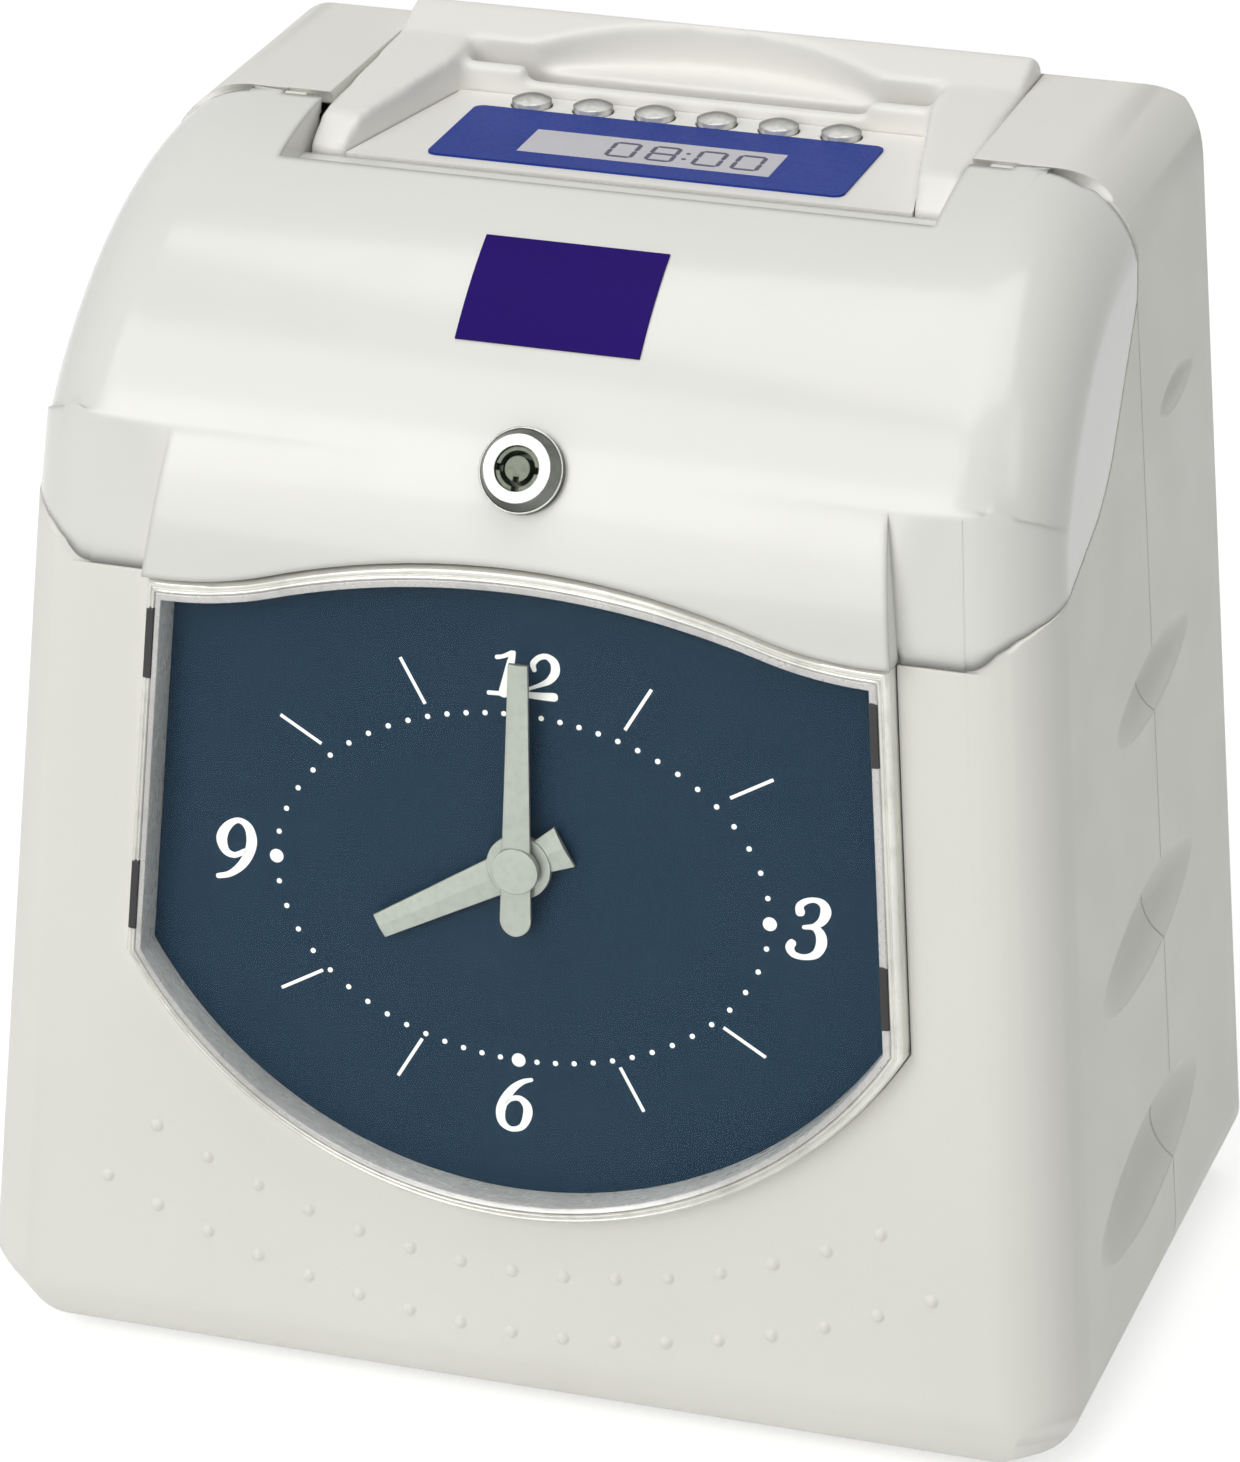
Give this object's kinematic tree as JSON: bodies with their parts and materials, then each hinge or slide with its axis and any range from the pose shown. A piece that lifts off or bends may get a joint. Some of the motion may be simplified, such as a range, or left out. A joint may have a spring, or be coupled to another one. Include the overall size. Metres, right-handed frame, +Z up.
{
  "type": "time clock",
  "caption": "Desk or wall time clock with an analogue dial under a clear window, a lockable flip-up hood, a display with keys and a card slot in the top.",
  "frame": {"origin": "on the table surface under the middle of the case's footprint", "axes": "+X to the right as seen from the front, +Y towards the back, +Z up"},
  "size_m": [0.212, 0.142, 0.2297],
  "materials": {
    "case_white": "satin, fine grain",
    "hood_white": "gloss",
    "guide_white": "satin",
    "clear": "clear polished plastic",
    "dial_blue": "matt paint",
    "label_blue": "printed film",
    "display": "display glass",
    "hand_silver": "satin",
    "chrome": "polished",
    "steel": "satin",
    "zinc": "zinc plated",
    "brass": "turned",
    "resin_black": "matt",
    "resin_white": "matt",
    "rubber": "matt",
    "board": "laminate",
    "copper": "varnished windings and core",
    "cell_blue": "shrink sleeve",
    "key_grey": "gloss"
  },
  "bodies": {
    "case": {"front_case": "case_white", "rear_case": "case_white", "hinge_pins": "steel", "window_lens": "clear", "lens_clips": "resin_black", "dial_plate": "dial_blue", "dial_frame": "resin_white", "frame_screws": "zinc", "movement_case": "resin_black", "card_guide": "guide_white", "keypad_panel": "guide_white", "display_label": "label_blue", "lcd_module": "display", "keypad_board": "board", "chassis": "zinc", "chute_front": "zinc", "chute_rear": "zinc", "feed_motor": "zinc", "guide_shafts": "steel", "carriage_motor": "zinc", "ribbon_cartridge": "resin_black", "main_board": "board", "transformer": "copper", "battery_pack": "cell_blue", "buzzer": "resin_black", "power_inlet": "resin_black", "rubber_feet": "rubber", "case_screws": "zinc", "chassis_screws": "zinc"},
    "hood": {"hood": "hood_white", "lock_body": "chrome", "lock_nut": "zinc", "badge_plate": "label_blue"},
    "lock": {"lock_plug": "chrome", "lock_cam": "zinc"},
    "minute": {"minute_hand": "hand_silver", "minute_arbor": "brass"},
    "hour": {"hour_hand": "hand_silver", "hour_wheel": "resin_white"},
    "motion_wheel": {"minute_wheel": "resin_white"},
    "rotor": {"step_rotor": "zinc"},
    "feed": {"feed_roller": "rubber"},
    "pinch": {"pinch_roller": "rubber"},
    "feed_pinion": {"motor_pinion": "brass"},
    "carriage": {"print_carriage": "resin_black", "print_head": "zinc"},
    "drive_pinion": {"carriage_pinion": "brass"},
    "ribbon_spool": {"ribbon_knob": "resin_white"},
    "key_1": {"button_1": "key_grey"},
    "key_2": {"button_2": "key_grey"},
    "key_3": {"button_3": "key_grey"},
    "key_4": {"button_4": "key_grey"},
    "key_5": {"button_5": "key_grey"},
    "key_6": {"button_6": "key_grey"}
  },
  "joints": [
    {"name": "hood_open", "type": "hinge", "parent": "case", "child": "hood", "pos_m": [0, 0.0104, 0.2231], "axis": [-1, 0, 0], "range_deg": [0, 60]},
    {"name": "lock_turn", "type": "hinge", "parent": "hood", "child": "lock", "pos_m": [0, -0.05816, 0.1845], "axis": [0, 0.8826, -0.4701], "range_deg": [0, 90]},
    {"name": "minute_turn", "type": "hinge", "parent": "case", "child": "minute", "pos_m": [0, -0.06366, 0.11036], "axis": [0, 0.9987, -0.0506], "continuous": true},
    {"name": "hour_turn", "type": "hinge", "parent": "case", "child": "hour", "pos_m": [0, -0.06366, 0.11036], "axis": [0, 0.9987, -0.0506], "continuous": true},
    {"name": "motion_wheel_turn", "type": "hinge", "parent": "case", "child": "motion_wheel", "pos_m": [0.01, -0.04868, 0.1096], "axis": [0, 0.9987, -0.0506], "continuous": true},
    {"name": "rotor_turn", "type": "hinge", "parent": "case", "child": "rotor", "pos_m": [-0.014, -0.04868, 0.1096], "axis": [0, 0.9987, -0.0506], "continuous": true},
    {"name": "feed_turn", "type": "hinge", "parent": "case", "child": "feed", "pos_m": [0, 0.03803, 0.1893], "axis": [1, 0, 0], "continuous": true},
    {"name": "pinch_turn", "type": "hinge", "parent": "case", "child": "pinch", "pos_m": [0, 0.05273, 0.1893], "axis": [1, 0, 0], "continuous": true},
    {"name": "feed_pinion_turn", "type": "hinge", "parent": "case", "child": "feed_pinion", "pos_m": [0, 0.02203, 0.1893], "axis": [1, 0, 0], "continuous": true},
    {"name": "carriage_slide", "type": "slide", "parent": "case", "child": "carriage", "axis": [1, 0, 0], "range_m": [-0.014, 0.014]},
    {"name": "drive_pinion_turn", "type": "hinge", "parent": "case", "child": "drive_pinion", "pos_m": [0, 0.00958, 0.1653], "axis": [0, 0, 1], "range_deg": [-168, 168]},
    {"name": "ribbon_turn", "type": "hinge", "parent": "case", "child": "ribbon_spool", "pos_m": [0.03, -0.01162, 0.1743], "axis": [0, 0, 1], "continuous": true},
    {"name": "key_1_press", "type": "slide", "parent": "case", "child": "key_1", "axis": [0, 0, -1], "range_m": [0, 0.001], "stiffness_N_per_m": 600},
    {"name": "key_2_press", "type": "slide", "parent": "case", "child": "key_2", "axis": [0, 0, -1], "range_m": [0, 0.001], "stiffness_N_per_m": 600},
    {"name": "key_3_press", "type": "slide", "parent": "case", "child": "key_3", "axis": [0, 0, -1], "range_m": [0, 0.001], "stiffness_N_per_m": 600},
    {"name": "key_4_press", "type": "slide", "parent": "case", "child": "key_4", "axis": [0, 0, -1], "range_m": [0, 0.001], "stiffness_N_per_m": 600},
    {"name": "key_5_press", "type": "slide", "parent": "case", "child": "key_5", "axis": [0, 0, -1], "range_m": [0, 0.001], "stiffness_N_per_m": 600},
    {"name": "key_6_press", "type": "slide", "parent": "case", "child": "key_6", "axis": [0, 0, -1], "range_m": [0, 0.001], "stiffness_N_per_m": 600}
  ],
  "couplings": [
    {"joint": "hour_turn", "follows": "minute_turn", "ratio": 0.083333},
    {"joint": "motion_wheel_turn", "follows": "minute_turn", "ratio": -0.33333},
    {"joint": "rotor_turn", "follows": "minute_turn", "ratio": -6},
    {"joint": "feed_pinion_turn", "follows": "feed_turn", "ratio": -3},
    {"joint": "pinch_turn", "follows": "feed_turn", "ratio": -1.3333},
    {"joint": "drive_pinion_turn", "follows": "carriage_slide", "rad_per_m": -208.33}
  ]
}
